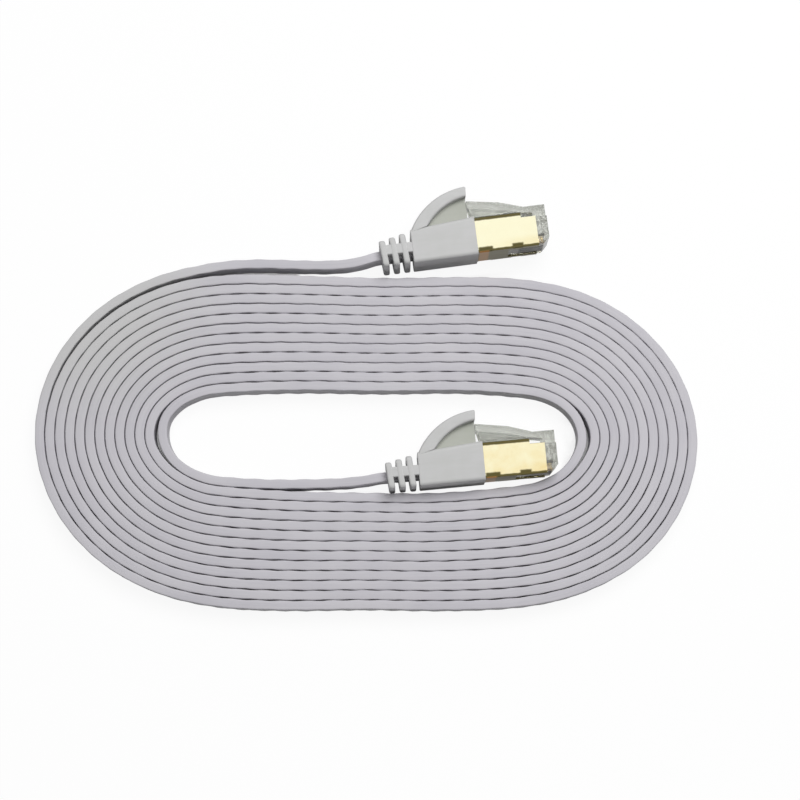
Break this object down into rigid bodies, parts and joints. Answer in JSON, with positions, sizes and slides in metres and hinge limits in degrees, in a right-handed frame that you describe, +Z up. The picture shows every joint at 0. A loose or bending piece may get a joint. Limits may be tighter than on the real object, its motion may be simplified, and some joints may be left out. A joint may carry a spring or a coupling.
{
  "type": "flat ethernet patch cable",
  "caption": "Flat shielded ethernet patch cable wound as an oval coil, with a gold-shielded modular plug in a snag-proof boot at each end.",
  "frame": {"origin": "centre of the footprint, on the surface that the coil and both plugs lie on", "axes": "+Z up from the surface, +X along the coil's long side towards the plug noses, +Y from the inner plug to the outer plug"},
  "size_m": [0.1634, 0.1042, 0.0132],
  "materials": {
    "cable_jacket": "satin extruded jacket",
    "boot": "satin soft moulding",
    "shield": "bright gold-plated sheet",
    "housing": "clear gloss moulding",
    "load_bar": "clear moulding",
    "contact": "gold-plated blade",
    "wire_white_orange": "insulated conductor",
    "wire_orange": "insulated conductor",
    "wire_white_green": "insulated conductor",
    "wire_blue": "insulated conductor",
    "wire_white_blue": "insulated conductor",
    "wire_green": "insulated conductor",
    "wire_white_brown": "insulated conductor",
    "wire_brown": "insulated conductor"
  },
  "bodies": {
    "root": {"cable_coil": "cable_jacket", "outer_cable_tail": "cable_jacket", "inner_cable_tail": "cable_jacket", "outer_boot": "boot", "outer_shield": "shield", "outer_housing": "housing", "outer_load_bar": "load_bar", "outer_cable_end": "cable_jacket", "outer_wire_white_orange": "wire_white_orange", "outer_contact_1": "contact", "outer_wire_orange": "wire_orange", "outer_contact_2": "contact", "outer_wire_white_green": "wire_white_green", "outer_contact_3": "contact", "outer_wire_blue": "wire_blue", "outer_contact_4": "contact", "outer_wire_white_blue": "wire_white_blue", "outer_contact_5": "contact", "outer_wire_green": "wire_green", "outer_contact_6": "contact", "outer_wire_white_brown": "wire_white_brown", "outer_contact_7": "contact", "outer_wire_brown": "wire_brown", "outer_contact_8": "contact", "inner_boot": "boot", "inner_shield": "shield", "inner_housing": "housing", "inner_load_bar": "load_bar", "inner_cable_end": "cable_jacket", "inner_wire_white_orange": "wire_white_orange", "inner_contact_1": "contact", "inner_wire_orange": "wire_orange", "inner_contact_2": "contact", "inner_wire_white_green": "wire_white_green", "inner_contact_3": "contact", "inner_wire_blue": "wire_blue", "inner_contact_4": "contact", "inner_wire_white_blue": "wire_white_blue", "inner_contact_5": "contact", "inner_wire_green": "wire_green", "inner_contact_6": "contact", "inner_wire_white_brown": "wire_white_brown", "inner_contact_7": "contact", "inner_wire_brown": "wire_brown", "inner_contact_8": "contact"}
  },
  "joints": []
}
